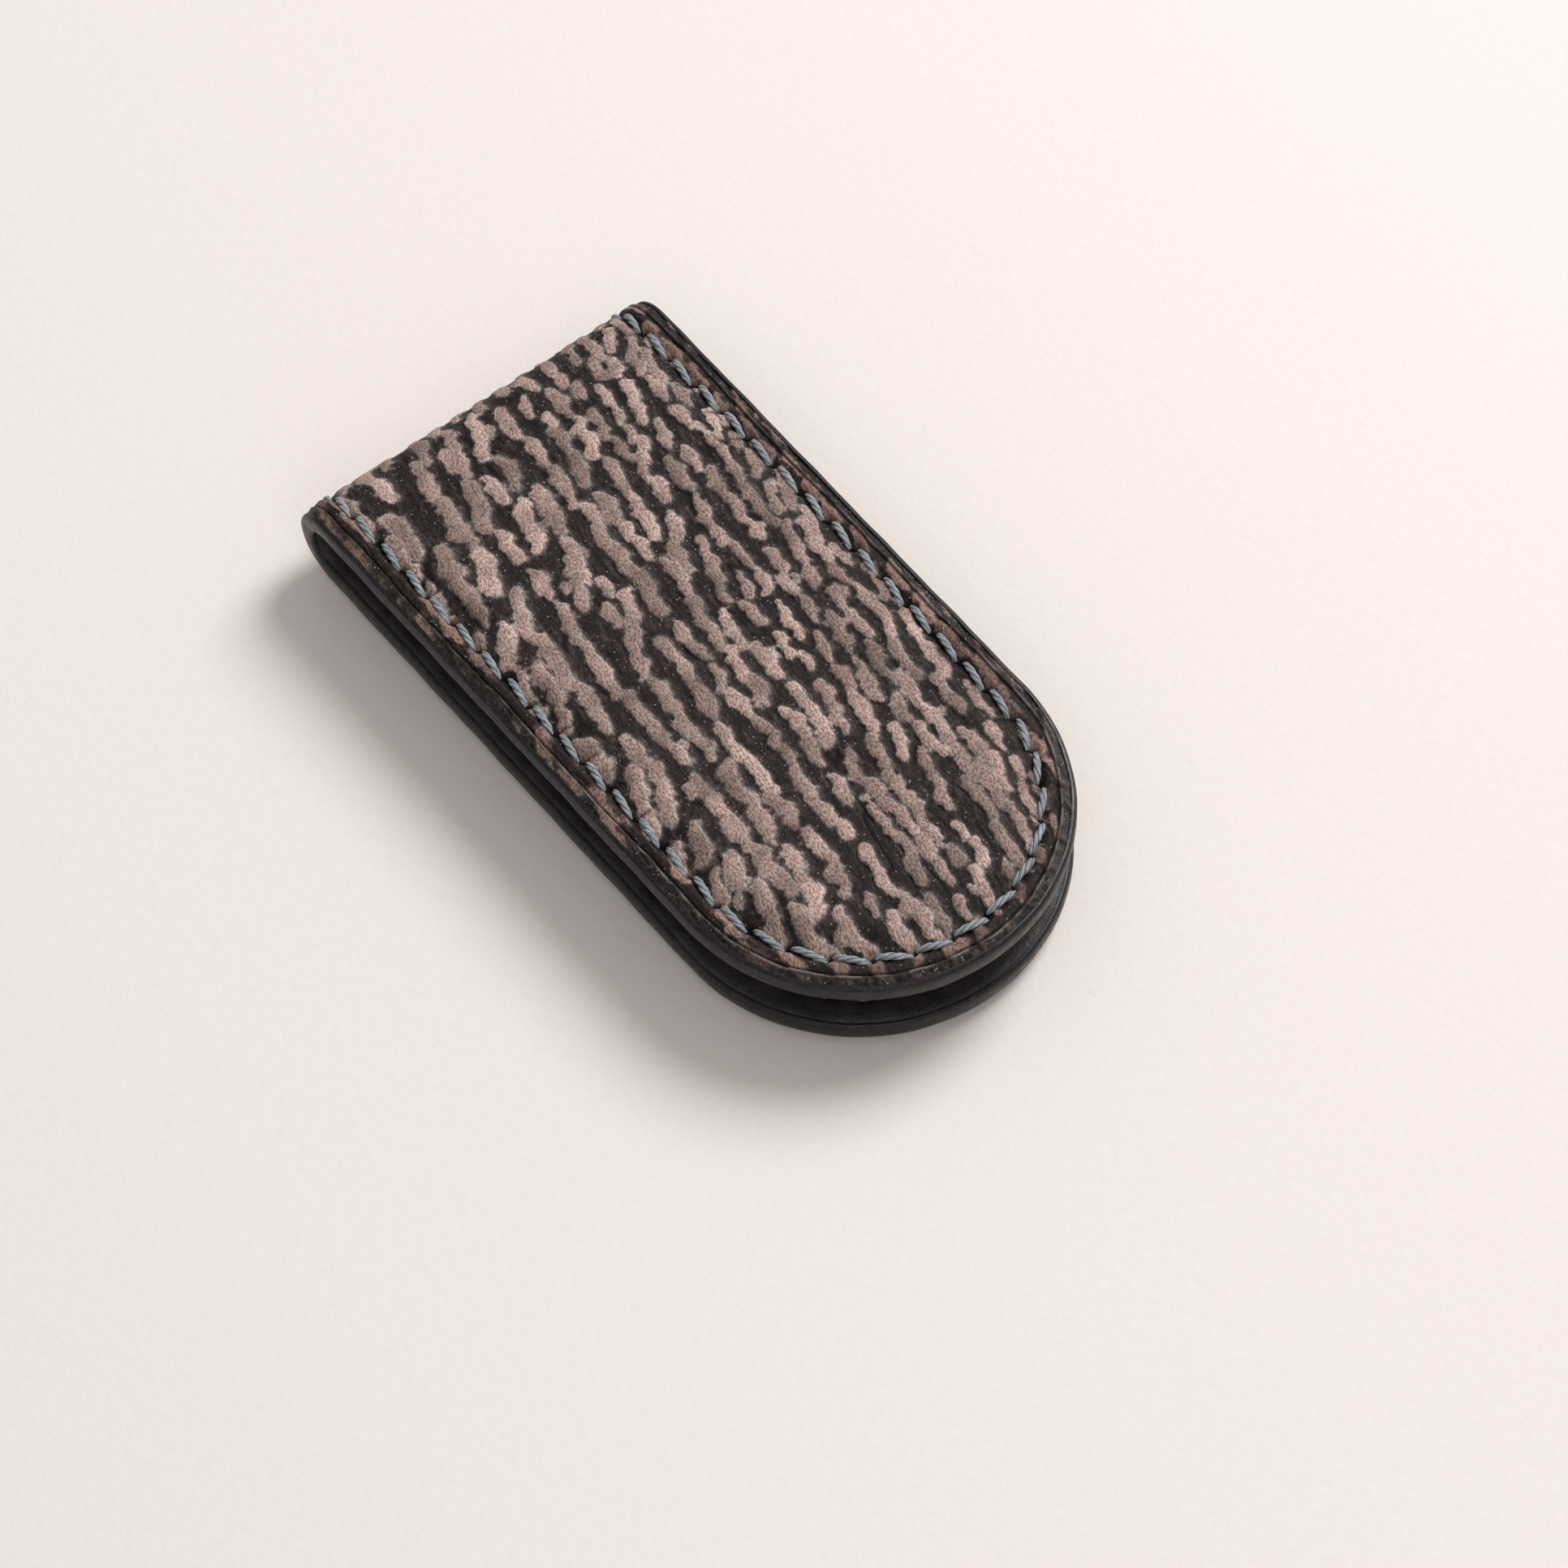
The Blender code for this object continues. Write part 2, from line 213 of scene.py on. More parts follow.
def fetch(grid, i, j):
    """Values of a grid at places between its cells, counted in cells."""
    i = np.clip(i, 0.0, grid.shape[0] - 2.001)
    j = np.clip(j, 0.0, grid.shape[1] - 2.001)
    a, b = i.astype(int), j.astype(int)
    fi, fj = i - a, j - b
    low = grid[a, b] * (1.0 - fj) + grid[a, b + 1] * fj
    high = grid[a + 1, b] * (1.0 - fj) + grid[a + 1, b + 1] * fj
    return low * (1.0 - fi) + high * fi


def sample(grid, x, y):
    """Values of a grid on the hide at flat points."""
    return fetch(grid, (x - HIDE_X[0]) / HIDE_STEP, (y - HIDE_Y[0]) / HIDE_STEP)


def warp(grid, dx, dy):
    """The grid with every point fetched from this far away."""
    i = np.arange(grid.shape[0])[:, None] + dx / HIDE_STEP
    j = np.arange(grid.shape[1])[None, :] + dy / HIDE_STEP
    return fetch(grid, i, j)


def lobe_bumps(rng, x, y, length, width, angle, lightness):
    """A lobe as a line of round bumps: centre, half length, half width, angle and lightness."""
    bumps = []
    for t in np.linspace(-1.0, 1.0, max(2, round(2.3 * length / width) + 1)):
        along = t * length + rng.normal(0.0, 0.12) * width
        across = rng.normal(0.0, 0.30) * width
        size = width * rng.uniform(0.66, 1.12) * (1.0 - 0.18 * t * t)
        bump_x = x + along * math.cos(angle) - across * math.sin(angle)
        bump_y = y + along * math.sin(angle) + across * math.cos(angle)
        bumps.append((bump_x, bump_y, 1.15 * size, size, angle + rng.normal(0.0, 0.3), lightness))
    return bumps


def row_lobes(rng, start, gap, wander):
    """One row of lobes that touch end to end, with a break after every few."""
    bumps = []
    x, side, left = HIDE_X[0] - 3.0 * rng.random(), 0.0, rng.integers(*LOBE_GROUP)
    while x < HIDE_X[1] + 3.0:
        length = LOBE_LENGTH * gap * rng.uniform(0.35, 1.5)
        width = LOBE_WIDTH * gap * rng.uniform(0.85, 1.2)
        x += length
        i, j = cell((wander.shape[0] - 1, wander.shape[1] - 1), x, start + ROW_SLOPE * x)
        side = 0.5 * side + rng.normal(0.0, 0.085 - 0.02 * smooth(start, -10.0, 6.0)) * gap
        y = start + ROW_SLOPE * x + wander[i, j] + side
        angle = math.radians(rng.uniform(-24.0, -2.0))
        bumps += lobe_bumps(rng, x, y, length, width, angle, rng.uniform(0.48, 1.0))
        if rng.random() < SIDE_LOBE_CHANCE:
            lobe_y = y + rng.choice((-0.45, 0.45)) * gap
            lobe_x = x + rng.uniform(-0.8, 0.8)
            bumps += lobe_bumps(rng, lobe_x, lobe_y, 0.15 * gap, 0.6 * width, angle, 0.6)
        left -= 1
        x += length + width * (rng.uniform(0.9, 1.5) if left > 0 else rng.uniform(2.0, 2.8))
        if left <= 0:
            left = rng.integers(*LOBE_GROUP)
    return bumps


def add_row(lobes, xs, ys, fields):
    """Merge the lobes of one row, and lay the row over the earlier ones."""
    shape = fields["total"].shape
    row, best = np.zeros(shape), np.zeros(shape)
    for x, y, length, width, angle, lightness in lobes:
        reach = 3.2 * length
        i0, j0 = cell(shape, x - reach, y - reach)
        i1, j1 = cell(shape, x + reach, y + reach)
        if i0 == i1 or j0 == j1:
            continue
        window = (slice(i0, i1), slice(j0, j1))
        dx, dy = xs[i0:i1, None] - x, ys[None, j0:j1] - y
        u = (dx * math.cos(angle) + dy * math.sin(angle)) / length
        v = (-dx * math.sin(angle) + dy * math.cos(angle)) / width
        bump = np.exp(-u * u - v * v)
        tallest = np.maximum(best[window], fields["total"][window])
        fields["tone"][window] = np.where(bump > tallest, lightness, fields["tone"][window])
        fields["near"][window] = np.maximum(fields["near"][window], np.minimum(best[window], bump))
        fields["best"][window] = np.maximum(fields["best"][window], bump)
        best[window] = np.maximum(best[window], bump)
        row[window] += bump ** 1.5
    row = np.sqrt(row)
    fields["second"] = np.maximum(fields["second"], np.minimum(fields["total"], row))
    fields["total"] = np.maximum(fields["total"], row)


def lay_rows(rng, xs, ys):
    """Every row of lobes, laid one over the other."""
    shape = (len(xs), len(ys))
    wander = 0.45 * octave(rng, shape, 14.0, 0.4, 0.7, -60.0)
    fields = {name: np.zeros(shape) for name in ("total", "second", "near", "best")}
    fields["tone"] = np.full(shape, 0.8)
    start = HIDE_Y[0] - ROWS_BEYOND
    while start < HIDE_Y[1] + ROWS_BEYOND:
        gap = ROW_GAP - ROW_GAP_LESS * smooth(start, -14.0, 10.0)
        add_row(row_lobes(rng, start, gap, wander), xs, ys, fields)
        start += gap
    return fields


def hide_maps():
    """Grids of the hide.

    Ridge is above 0 on the ridges, height is their rise and tone their lightness. Crease marks the folds,
    for their depth and for the painted shade in them.
    """
    rng = np.random.default_rng(HIDE_SEED)
    xs = np.arange(HIDE_X[0], HIDE_X[1], HIDE_STEP)
    ys = np.arange(HIDE_Y[0], HIDE_Y[1], HIDE_STEP)
    shape = (len(xs), len(ys))
    fields = lay_rows(rng, xs, ys)
    dx = 0.12 * octave(rng, shape, 2.2, 0.5) + 0.015 * octave(rng, shape, 0.9)
    dy = 0.08 * octave(rng, shape, 1.8, 0.5) + 0.012 * octave(rng, shape, 0.8)

    # A groove stays open where two rows touch
    total, second = fields["total"], fields["second"]
    touch = smooth(second, 0.20, 0.65) * bell(total - second, 0.13)
    groove = 0.76 + 0.10 * smooth(ys, -8.0, 6.0)
    ridge = soften(warp(total - RIDGE_LEVEL - groove * touch, dx, dy), 3)
    ridge = ridge + 0.025 * octave(rng, shape, 1.5) + 0.05 * octave(rng, shape, 3.2)

    # Folds, cut into the relief and darkened with painted shade: where two bumps join, along the -Y edge
    # of the ridges, which faces away from the key light, and fine lines in the grooves
    near, best = warp(fields["near"], dx, dy), warp(fields["best"], dx, dy)
    join = bell(best - near, 0.05) * smooth(near, 0.35, 0.6)
    join = join * smooth(octave(rng, shape, 3.0), 0.0, 0.8)
    rounded = soften(ridge, 8)
    lower_edge = smooth(np.roll(rounded, -3, axis=1), 0.0, 0.2) * (1.0 - smooth(rounded, -0.25, 0.0))
    lines = bell(octave(rng, shape, 1.5, 0.25, 9.0, -6.0), 0.16)
    lines = lines * (1.0 - 0.8 * smooth(ridge, -0.1, 0.15)) * smooth(octave(rng, shape, 5.0), -0.6, 0.4)

    # Ragged edges, crisper on the side that faces -Y
    ragged = octave(rng, shape, 0.85, 0.35) * smooth(octave(rng, shape, 4.0), -0.8, 0.8)
    ridge = ridge + 0.075 * ragged
    slope = np.gradient(soften(ridge, 2), axis=1) / HIDE_STEP
    softness = 0.30 - 0.11 * smooth(slope, -0.4, 0.4)
    return {
        "ridge": np.clip((ridge + 0.02) / softness, -2.5, 2.5),
        "height": smooth(soften(ridge, 5), -0.38, 0.50),
        "tone": warp(soften(fields["tone"], 3), dx, dy),
        "crease": np.maximum(np.maximum(0.8 * lower_edge, 0.5 * join), 0.8 * lines),
    }


HIDE = hide_maps()


def on_hide(x, side):
    """Flat x of the whole hide: the lower leaf follows on beyond the fold."""
    return x if side > 0.0 else -2.0 * FOLD_RUN - x


# ---------------------------------------------------------------- relief of the leather

# Heights: ridges over grooves, depth of the hide's folds, and the share of the ridges' height
# that stands above the leaf's thickness
RELIEF = 0.30
UNDERCUT = 0.20
PROUD = 0.28

# Heights along the stitch line: the dip under it, the slits and what they draw in or push up
STITCH_DIP = 0.32
PUCKER_DEPTH = 0.12
SLIT_DEPTH = 0.45
TUCK_DEPTH = 0.14
HEAP_HEIGHT = 0.13

# Heights at the edge: shoulder inside the crease, pressed line, its lip, and the rounded margin
SHOULDER = 0.14
SHOULDER_INSET = 2.35
LINE_DEPTH = 0.20
LIP_HEIGHT = 0.09
MARGIN_DROP = 0.30

# Slant of the slits, as length along the stitch line for each millimetre inwards
SLIT_SLANT = 1.1


def panel(x, inset):
    """Rise of the leaf over its board and magnets, with none at the bend line."""
    across = smooth(inset, DOME_FROM, DOME_TO)
    return DOME * across * smooth(x, 1.5, 7.0)


def paced(run):
    """Runs drawn together and apart a little, as the slits aren't evenly spaced."""
    wave = np.clip(np.asarray(run, float) / PACE_LENGTH, 0.0, 1.0)
    return run - PACE_DRIFT * (0.5 - 0.5 * np.cos(2.0 * math.pi * wave))


def beside_slit(run):
    """Distance along the stitch line from the nearest slit."""
    even = paced(run)
    return even - np.round(even / PITCH) * PITCH


def stitch_inset(run):
    """The stitch line runs a little nearer the rim half way along the +Y side."""
    return STITCH - 0.32 * bell(run - 33.0, 17.0)


def slit(run, inset):
    """The needle slits: each slants from the end of one stitch to the start of the next."""
    along = beside_slit(run)
    inward = inset - stitch_inset(run)
    across = (along + SLIT_SLANT * inward) / math.hypot(1.0, SLIT_SLANT)
    down = (inward - SLIT_SLANT * along) / math.hypot(1.0, SLIT_SLANT)
    return np.exp(-((across / 0.24) ** 2) - (down / 0.55) ** 4)


def pucker(run, inset):
    """Leather drawn in round each slit."""
    return bell(beside_slit(run), 0.95) * bell(inset - stitch_inset(run), 0.9)


def heap(run, inset):
    """Leather heaped up beside each slit, between the stitches and the crease."""
    return bell(beside_slit(run), 0.85) * bell(inset - stitch_inset(run) + 0.85, 0.42)


def tuck(run, inset):
    """Short folds that run inwards from some of the slits."""
    number = np.round(paced(run) / PITCH)
    pick = 0.5 + 0.5 * np.sin(number * 12.9898)
    inward = inset - stitch_inset(run)
    reach = smooth(inward, 0.1, 0.6) * (1.0 - smooth(inward, 1.0, 2.2))
    return bell(beside_slit(run) + 0.35 * inward, 0.17) * reach * smooth(pick, 0.25, 0.75)


def crease_inset(run):
    """The pressed line wanders a little, as it is worked by hand."""
    slow = 0.08 * np.sin(run / 3.7 + 0.6) + 0.04 * np.sin(run / 1.63 + 2.0)
    return CREASE + slow + 0.02 * np.sin(run / 0.71)


def leather_surface(run, inset, side):
    """Flat point, height and finish of the shell's outer face, with the masks of its painted shade and
    painted highlight.
    """
    x, y = flat_point(run, inset)
    hide_x = on_hide(x, side)
    ridge, hill, tone, crease = (
        sample(HIDE[name], hide_x, y) for name in ("ridge", "height", "tone", "crease")
    )

    # The hide's ridges, lower near the rim and the fold. Those of the lower leaf keep its underside flat.
    strength = RELIEF * (0.35 + 0.65 * smooth(inset, 2.4, 5.5)) * (0.6 + 0.4 * smooth(x, 0.0, 8.0))
    proud = PROUD * (1.0 if side > 0.0 else 1.0 - smooth(x, 0.0, 8.0))
    height = THICKNESS + panel(x, inset) + strength * (hill - 1.0 + proud) - UNDERCUT * crease

    # The stitch line
    hole, fold, beside = slit(run, inset), tuck(run, inset), heap(run, inset)
    height = height - STITCH_DIP * bell(inset - stitch_inset(run), 0.55)
    height = height - PUCKER_DEPTH * pucker(run, inset) - SLIT_DEPTH * hole - TUCK_DEPTH * fold
    height = height + HEAP_HEIGHT * beside

    # The pressed line and the edge
    pressed = inset - crease_inset(run)
    lip, line = bell(pressed + 0.2, 0.12), bell(pressed, 0.11)
    margin = np.clip((CREASE - inset) / 1.1, 0.0, 1.0)
    height = height + SHOULDER * bell(inset - SHOULDER_INSET, 0.4)
    height = height - LINE_DEPTH * line + LIP_HEIGHT * lip - MARGIN_DROP * margin ** 1.6

    # The ridges fade at the rim, under the paint that laps over it, and come back on the heaps
    outside = 1.0 - smooth(pressed, -0.35, 0.05)
    paint = outside * (0.9 + 0.9 * smooth(x, TIP_X - 12.0, TIP_X + 6.0))
    finish = {
        "ridge": ridge - (1.0 - smooth(inset, 2.0, 4.2)) + 2.0 * beside - paint,
        "tone": tone * (0.66 + 0.34 * smooth(inset, CREASE, 4.8)),
        # Painted shade in the slits, the pressed line, the hide's folds and the tucks
        "painted_shade": np.maximum(np.maximum(hole, 0.85 * line), np.maximum(crease, 0.8 * fold)),
        "inset": np.full_like(x, inset),
        # Where the highlight on the lip of the pressed line is painted, stronger towards the tip
        "lip": lip * (0.3 + 0.7 * smooth(x, 12.0, 45.0)),
    }
    return x, y, height, finish


# ---------------------------------------------------------------- meshes

def add_values(mesh, name, values):
    attribute = mesh.attributes.new(name, "FLOAT", "POINT")
    attribute.data.foreach_set("value", np.ascontiguousarray(values, np.float32).ravel())


def add_vectors(mesh, name, vectors):
    attribute = mesh.attributes.new(name, "FLOAT_VECTOR", "POINT")
    attribute.data.foreach_set("vector", np.ascontiguousarray(vectors, np.float32).ravel())


def make_object(name, verts, faces, material, sharp=60.0):
    """Smooth mesh from points in millimetres, with edges over this angle kept sharp."""
    mesh = bpy.data.meshes.new(name)
    mesh.from_pydata((verts * MM).tolist(), [], faces)
    mesh.materials.append(material)
    mesh.polygons.foreach_set("use_smooth", np.ones(len(mesh.polygons), bool))
    mesh.set_sharp_from_angle(angle=math.radians(sharp))
    obj = bpy.data.objects.new(name, mesh)
    bpy.context.scene.collection.objects.link(obj)
    return obj


def sheet_faces(offset, rows, count, fold, straight, flip):
    """Faces of one side of a leaf, its points at the back of the fold, and those round its rim.

    Its last row is the spine, where both halves meet.
    """
    arm = fold + straight
    index = offset + np.arange((rows - 1) * count).reshape(rows - 1, count)
    a, b = index[:-1, :-1], index[:-1, 1:]
    c, d = index[1:, 1:], index[1:, :-1]
    quads = np.stack([a, b, c, d], axis=-1).reshape(-1, 4)
    spine = offset + (rows - 1) * count + np.arange(arm + 1)
    last = index[-1]
    closing = []
    for i in range(count - 1):
        if i < arm:
            closing.append([last[i], last[i + 1], spine[i + 1], spine[i]])
        elif i >= count - 1 - arm:
            k = count - 1 - i
            closing.append([last[i], last[i + 1], spine[k - 1], spine[k]])
        else:
            closing.append([last[i], last[i + 1], spine[arm]])
    faces = quads.tolist() + [[int(v) for v in face] for face in closing]
    if flip:
        faces = [face[::-1] for face in faces]
    left = [int(v) for v in index[:, 0]]
    right = [int(v) for v in index[:, -1]]
    return faces, left + [int(spine[0])] + right[::-1], index[0].tolist()


def leaf_solid(name, outer, inner, layout, side, material):
    """Closed sheet from rows of points on its outer and its inner face."""
    fold, straight, count = layout
    arm = fold + straight
    verts = []
    for rows in (outer, inner):
        verts.append(np.concatenate(rows[:-1]))
        verts.append(rows[-1][: arm + 1])
    flip = side > 0.0
    offset = (len(outer) - 1) * count + arm + 1
    outer_faces, outer_cap, outer_rim = sheet_faces(0, len(outer), count, fold, straight, flip)
    inner_faces, inner_cap, inner_rim = sheet_faces(offset, len(inner), count, fold, straight, not flip)
    wall = []
    for i in range(count - 1):
        quad = [outer_rim[i], outer_rim[i + 1], inner_rim[i + 1], inner_rim[i]]
        wall.append(quad if flip else quad[::-1])
    faces = outer_faces + inner_faces + wall + [outer_cap + inner_cap[::-1]]
    obj = make_object(name, np.concatenate(verts), faces, material, sharp=80.0)
    return obj, len(verts[2]) + len(verts[3])


def gather(rows, arm):
    """Row values in the same order as the vertices of leaf_solid."""
    return np.concatenate(list(rows[:-1]) + [rows[-1][: arm + 1]])


def cross_leaf(obj, nodes):
    """Bake a piece's transform into its mesh, and hide the solids that it stands in for."""
    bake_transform(obj)
    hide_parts(*nodes)


def insets_for_shell():
    """Insets of the rows, close together at the rim, the crease and the stitches."""
    edge = np.arange(0.30, 1.15, 0.13)
    crease = np.arange(1.19, 1.95, 0.075)
    stitch = np.arange(2.0, 4.5, 0.15)
    field = np.arange(4.6, TRUE_INSET, 0.21)
    middle = np.linspace(TRUE_INSET, TIP_RADIUS, 40)
    return np.concatenate([edge, crease, stitch, field, middle])


def build_shell(part, side, material):
    """One half of the shell strip, from the tip to the back of the fold."""
    fold, straight, tip = 34, 256, 262
    runs = stations(fold, straight, tip)
    arm = fold + straight
    outer, flats, finishes = [], [], []
    for inset in insets_for_shell():
        x, y, height, finish = leather_surface(runs, inset, side)
        outer.append(bend(x, y, height, side))
        flats.append(np.stack([on_hide(x, side), y, 0.0 * x], axis=-1))
        finishes.append(finish)
    inner = []
    for inset in (0.30, 2.0, DOME_FROM, 5.5, DOME_TO, TRUE_INSET, TIP_RADIUS):
        x, y = flat_point(runs, inset)
        inner.append(bend(x, y, LINING + GLUE + panel(x, inset), side))
    layout = (fold, straight, len(runs))
    obj, rest = leaf_solid("shell_leather_" + part, outer, inner, layout, side, material)
    for name in finishes[0]:
        rows = [finish[name] for finish in finishes]
        add_values(obj.data, name, np.concatenate([gather(rows, arm), np.full(rest, -0.5)]))
    flat = np.concatenate([gather(flats, arm), np.zeros((rest, 3))])
    add_vectors(obj.data, "flat", flat)
    nodes = ["shell_upper"] if part == "upper" else ["shell_lower", "shell_fold"]
    cross_leaf(obj, nodes)


def build_lining(part, side, material):
    """One half of the lining strip, with the stitch line pressed into it."""
    fold, straight, tip = 17, 128, 131
    runs = stations(fold, straight, tip)
    arm = fold + straight
    edge, stitch = np.arange(0.42, 2.4, 0.22), np.arange(2.5, 4.0, 0.15)
    field, middle = np.arange(4.2, TRUE_INSET, 0.6), np.linspace(TRUE_INSET, TIP_RADIUS, 14)
    face, flats = [], []
    for inset in np.concatenate([edge, stitch, field, middle]):
        x, y = flat_point(runs, inset)
        height = 0.20 * bell(inset - stitch_inset(runs), 0.5)
        height = height + 0.34 * slit(runs, inset) + 0.06 * pucker(runs, inset)
        height = height + 0.22 * np.clip((1.3 - inset) / 0.9, 0.0, 1.0) ** 2
        face.append(bend(x, y, height, side))
        flats.append(np.stack([on_hide(x, side), y, 0.0 * x], axis=-1))
    back = []
    for inset in (0.42, 3.0, TRUE_INSET, TIP_RADIUS):
        x, y = flat_point(runs, inset)
        back.append(bend(x, y, LINING + 0.0 * x, side))
    layout = (fold, straight, len(runs))
    obj, rest = leaf_solid("lining_leather_" + part, face, back, layout, -side, material)
    flat = np.concatenate([gather(flats, arm), np.zeros((rest, 3))])
    add_vectors(obj.data, "flat", flat)
    nodes = ["lining_upper"] if part == "upper" else ["lining_lower", "lining_fold"]
    cross_leaf(obj, nodes)


def ring_faces(rings, size, offset=0):
    """Quads of a closed tube and its two end caps."""
    index = offset + np.arange(rings * size).reshape(rings, size)
    nxt = np.roll(index, -1, axis=1)
    quads = np.stack([index[:-1], nxt[:-1], nxt[1:], index[1:]], axis=-1).reshape(-1, 4)
    return quads.tolist() + [index[0][::-1].tolist(), index[-1].tolist()]


def bead_section(steps):
    """Rounded strip of edge paint as insets and heights."""
    angle = np.linspace(-0.5, 0.5, steps) * math.pi
    bulge = np.abs(np.cos(angle)) ** 0.62
    inset = BEAD_WIDTH * (1.0 - bulge)
    height = THICKNESS * 0.5 + (THICKNESS * 0.5 - 0.14) * np.sign(angle) * np.abs(np.sin(angle)) ** 0.9
    inner = np.array([BEAD_WIDTH + 0.05, BEAD_WIDTH + 0.05])
    inner_height = np.array([THICKNESS - 0.4, 0.4])
    return np.concatenate([inset, inner]), np.concatenate([height, inner_height])


def build_bead(part, side, material):
    """The edge paint, a closed strip round one leaf that swells and thins a little."""
    runs = stations(24, 150, 160)
    insets, heights = bead_section(19)
    rng = np.random.default_rng(5 if part == "upper" else 6)
    waves = rng.uniform(0.0, 2.0 * math.pi, 4)
    wobble = 0.020 * np.sin(runs / 1.7 + waves[0]) + 0.016 * np.sin(runs / 0.83 + waves[1])
    swell = 0.030 * np.sin(runs / 5.3 + waves[2]) + 0.02 * np.sin(runs / 2.9 + waves[3])
    ends = smooth(np.minimum(runs, TOTAL_RUN - runs), 0.0, 2.0)
    strips = []
    for inset, height in zip(insets, heights):
        x, y = flat_point(runs, np.clip(inset + ends * wobble * (inset < BEAD_WIDTH), 0.0, None))
        lift = height + ends * swell * (2.0 * height / THICKNESS - 1.0)
        strips.append(bend(x, y, lift, side))
    verts = np.stack(strips, axis=1).reshape(-1, 3)
    faces = ring_faces(len(runs), len(insets))
    if side < 0.0:
        faces = [face[::-1] for face in faces]
    obj = make_object("edge_bead_" + part, verts, faces, material)
    place = (np.repeat(runs, len(insets)), np.tile(heights, len(runs)), np.tile(insets, len(runs)))
    add_vectors(obj.data, "flat", np.stack(place, axis=-1))
    nodes = ["edge_paint_" + part]
    if part == "lower":
        nodes += ["edge_paint_fold_left", "edge_paint_fold_right"]
    cross_leaf(obj, nodes)


# A stitch: depth of its ends, rise of its middle, depth between its three plies,
# length of one turn of its twist, and its height as a share of its width
STITCH_SINK = 0.50
STITCH_RISE = 0.52
PLY_DEPTH = 0.36
LAY = 3.1
FLATTEN = 0.86


def stitch_frame(run, inset, height, side, outside):
    """Centre line of a stitch, and the directions across it and up from the leather."""
    x, y = flat_point(run, inset)
    centre = bend(x, y, height, side)
    out = bend(x, y, height + 0.1, side) - centre
    out = out * (1.0 if outside else -1.0)
    along = np.gradient(centre, axis=0)
    along = along / np.linalg.norm(along, axis=1, keepdims=True)
    across = np.cross(along, out)
    across = across / np.linalg.norm(across, axis=1, keepdims=True)
    return centre, across, np.cross(across, along)


def build_stitches(part, side, outside, material):
    """Every stitch of one face, as a twisted thread that dives into its slits."""
    sides, steps = (18, 26) if outside else (12, 18)
    rng = np.random.default_rng(11 if outside else 12)
    phase = np.linspace(0.0, 1.0, steps)
    turn = np.arange(sides) * (2.0 * math.pi / sides)
    arch = np.sin(math.pi * phase) ** 0.55
    arch[0] = arch[-1] = 0.0
    reach = PITCH - STITCH_GAP + 0.3
    dense = np.linspace(0.0, TOTAL_RUN, 2000)
    middles = np.interp((np.arange(STITCHES) + 0.5) * PITCH, paced(dense), dense)
    verts, faces, strands = [], [], []
    for number, even_middle in enumerate(middles):
        middle = even_middle + rng.uniform(-0.05, 0.05)
        run = np.clip(middle + reach * (phase - 0.5), 0.02, TOTAL_RUN - 0.02)
        tilt = SLANT * rng.uniform(0.85, 1.15)
        inset = stitch_inset(run) + tilt * (2.0 * phase - 1.0) + rng.uniform(-0.04, 0.04)
        sink = (STITCH_RISE + rng.uniform(-0.03, 0.03)) * arch - STITCH_SINK
        height = THICKNESS - 0.06 + sink if outside else 0.10 - sink
        centre, across, up = stitch_frame(run, inset, height, side, outside)
        lay = (phase * reach / LAY + rng.uniform(0.0, 1.0)) * 2.0 * math.pi
        ply = turn[None, :] - lay[:, None]
        lobe = 1.0 - PLY_DEPTH * (1.0 - np.abs(np.cos(1.5 * ply)))
        radius = THREAD * (0.62 + 0.38 * arch)[:, None] * lobe
        ring = centre[:, None, :]
        ring = ring + (radius * np.cos(turn))[:, :, None] * across[:, None, :]
        ring = ring + (FLATTEN * radius * np.sin(turn))[:, :, None] * up[:, None, :]
        faces += ring_faces(steps, sides, offset=number * steps * sides)
        verts.append(ring.reshape(-1, 3))
        length = np.repeat(phase[:, None] * reach + 7.0 * number, sides, axis=1)
        tone = np.full((steps, sides), rng.uniform(0.0, 1.0))
        strands.append(np.stack([ply, length, tone], axis=-1).reshape(-1, 3))
    face = "outside" if outside else "inside"
    obj = make_object("stitches_" + part + "_" + face, np.concatenate(verts), faces, material)
    add_vectors(obj.data, "strand", np.concatenate(strands))
    nodes = ["thread_" + part + "_" + face]
    if part == "lower":
        nodes += ["thread_fold_left_" + face, "thread_fold_right_" + face]
    cross_leaf(obj, nodes)


# ---------------------------------------------------------------- materials

